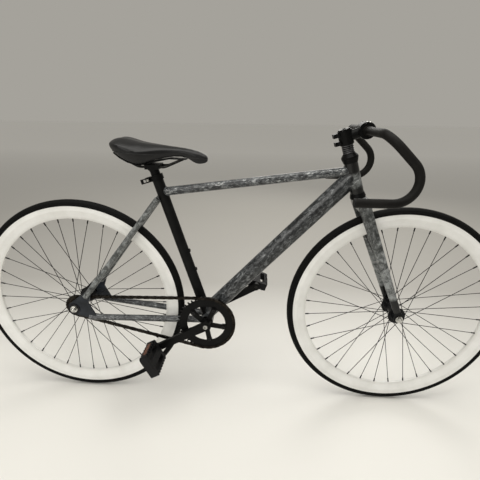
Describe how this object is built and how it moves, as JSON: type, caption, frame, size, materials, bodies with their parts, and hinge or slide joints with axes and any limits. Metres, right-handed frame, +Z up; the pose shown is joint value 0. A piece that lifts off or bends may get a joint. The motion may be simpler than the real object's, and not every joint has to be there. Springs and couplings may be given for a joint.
{
  "type": "fixed gear bicycle",
  "caption": "Fixed gear road bicycle with drop handlebar, deep-section wheels, platform pedals, sliding saddle and a coupled crank, chain and rear wheel drive.",
  "frame": {"origin": "on the ground under the middle of the wheelbase, on the bicycle's centre plane", "axes": "+X forward, +Y to the rider's left, +Z up; the chain is on the -Y side"},
  "size_m": [1.6759, 0.4222, 0.9072],
  "materials": {
    "frame_grey": "satin grey with a darker cloudy mottle",
    "frame_black": "satin black paint",
    "black_alloy": "gloss black anodised",
    "bar_black": "gloss black paint",
    "bright_steel": "plated steel",
    "dark_steel": "darkened steel",
    "chain_steel": "oiled dark steel",
    "saddle_black": "smooth satin black cover",
    "black_plastic": "moulded black",
    "tyre_black": "black tread",
    "tube_rubber": "smooth",
    "rim_white": "gloss white",
    "spoke_black": "black coated steel",
    "hub_black": "satin black",
    "crank_black": "satin black with worn edges",
    "ring_dark": "dark steel",
    "amber": "prismatic amber"
  },
  "bodies": {
    "frame": {"head_tube": "frame_grey", "top_tube": "frame_grey", "down_tube": "frame_grey", "seat_tube": "frame_black", "bottom_bracket_shell": "frame_black", "chain_stays": "frame_grey", "seat_stays": "frame_grey", "rear_dropouts": "frame_grey", "stay_bridges": "frame_grey", "headset_cups": "black_alloy", "headset_bearings": "bright_steel", "bottom_bracket_cups": "dark_steel", "bottom_bracket_bearings": "bright_steel", "seat_collar": "black_alloy", "seat_clamp_skewer": "bright_steel", "rear_axle": "bright_steel", "rear_axle_nuts": "bright_steel", "chain": "chain_steel"},
    "seat": {"seat_post": "black_alloy", "saddle_clamp": "bright_steel", "saddle_rails": "dark_steel", "saddle_base": "black_plastic", "saddle_cover": "saddle_black"},
    "seat_lever": {"seat_clamp_lever": "black_alloy"},
    "steering": {"steerer_tube": "dark_steel", "fork_crown": "frame_grey", "fork_blades": "frame_grey", "fork_ends": "frame_black", "crown_race": "bright_steel", "headset_cover": "black_alloy", "headset_spacers": "black_alloy", "stem": "black_alloy", "stem_faceplate": "black_alloy", "stem_bolts": "bright_steel", "steerer_cap": "black_alloy", "handlebar": "bar_black", "bar_end_plugs": "black_plastic", "front_axle": "bright_steel", "front_axle_nuts": "bright_steel"},
    "front_wheel": {"front_tyre": "tyre_black", "front_inner_tube": "tube_rubber", "front_rim": "rim_white", "front_spokes": "spoke_black", "front_hub": "hub_black"},
    "rear_wheel": {"rear_tyre": "tyre_black", "rear_inner_tube": "tube_rubber", "rear_rim": "rim_white", "rear_spokes": "spoke_black", "rear_hub": "hub_black", "rear_sprocket": "dark_steel"},
    "crankset": {"crank_spindle": "bright_steel", "crank_right": "crank_black", "crank_left": "crank_black", "crank_bolts": "bright_steel", "chainring": "ring_dark", "pedal_axles": "bright_steel"},
    "right_pedal": {"pedal_right": "black_plastic", "pedal_reflectors_right": "amber"},
    "left_pedal": {"pedal_left": "black_plastic", "pedal_reflectors_left": "amber"}
  },
  "joints": [
    {"name": "rear_wheel_spin", "type": "hinge", "parent": "frame", "child": "rear_wheel", "pos_m": [-0.502, 0, 0.336], "axis": [0, 1, 0], "continuous": true, "deforming": ["chain"]},
    {"name": "crank_spin", "type": "hinge", "parent": "frame", "child": "crankset", "pos_m": [-0.08943, 0, 0.289], "axis": [0, 1, 0], "continuous": true, "deforming": ["chain"]},
    {"name": "right_pedal_spin", "type": "hinge", "parent": "crankset", "child": "right_pedal", "pos_m": [-0.24395, -0.124, 0.20684], "axis": [0, 1, 0], "continuous": true},
    {"name": "left_pedal_spin", "type": "hinge", "parent": "crankset", "child": "left_pedal", "pos_m": [0.06508, 0.124, 0.37116], "axis": [0, 1, 0], "continuous": true},
    {"name": "steer", "type": "hinge", "parent": "frame", "child": "steering", "pos_m": [0.3333, 0, 0.75465], "axis": [-0.3007, 0, 0.9537], "range_deg": [-70, 70]},
    {"name": "front_wheel_spin", "type": "hinge", "parent": "steering", "child": "front_wheel", "pos_m": [0.502, 0, 0.336], "axis": [0, 1, 0], "continuous": true},
    {"name": "seat_height", "type": "slide", "parent": "frame", "child": "seat", "axis": [-0.299, 0, 0.9542], "range_m": [-0.009, 0.09]},
    {"name": "seat_lever_swing", "type": "hinge", "parent": "frame", "child": "seat_lever", "pos_m": [-0.25549, -0.01315, 0.73631], "axis": [-0.299, 0, 0.9542], "range_deg": [0, 120]}
  ],
  "couplings": [
    {"joint": "crank_spin", "follows": "rear_wheel_spin", "ratio": 0.36364}
  ]
}
